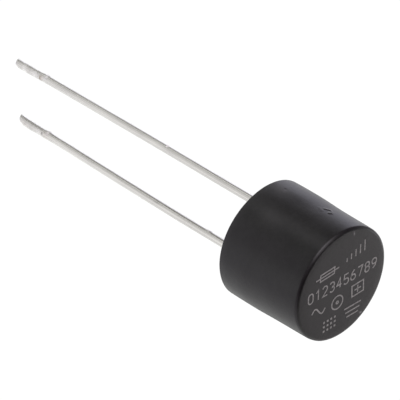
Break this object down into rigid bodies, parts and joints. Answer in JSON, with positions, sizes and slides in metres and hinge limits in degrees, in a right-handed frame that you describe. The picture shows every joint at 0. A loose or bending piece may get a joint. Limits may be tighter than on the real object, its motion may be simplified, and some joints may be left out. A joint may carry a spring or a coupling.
{
  "type": "radial lead fuse",
  "caption": "Sub-miniature radial fuse: round black moulded cap on a plug-in base, with long straight tinned wire leads for a circuit board.",
  "frame": {"origin": "centre of the seating plane, which is the plane of the stand-off feet, midway between the two leads", "axes": "+Z from the leads through the base to the closed end of the cap; X through both leads"},
  "size_m": [0.0084, 0.0084, 0.0323],
  "materials": {
    "cap_plastic": "satin black moulded thermoplastic with a faint sheen and a small scuff",
    "base_plastic": "matte black moulded thermoplastic",
    "face_marking": "pale grey laser-etched lines",
    "tinned_wire": "tinned copper, drawn, with fine lengthwise lines",
    "core_ceramic": "off-white, unglazed",
    "element_wire": "silvery fine wire",
    "solder": "solidified solder, satin"
  },
  "bodies": {
    "root": {"cap": "cap_plastic", "base": "base_plastic", "lead_right": "tinned_wire", "lead_left": "tinned_wire", "fuse_core": "core_ceramic", "fuse_wire": "element_wire", "solder_right": "solder", "solder_left": "solder"}
  },
  "joints": []
}
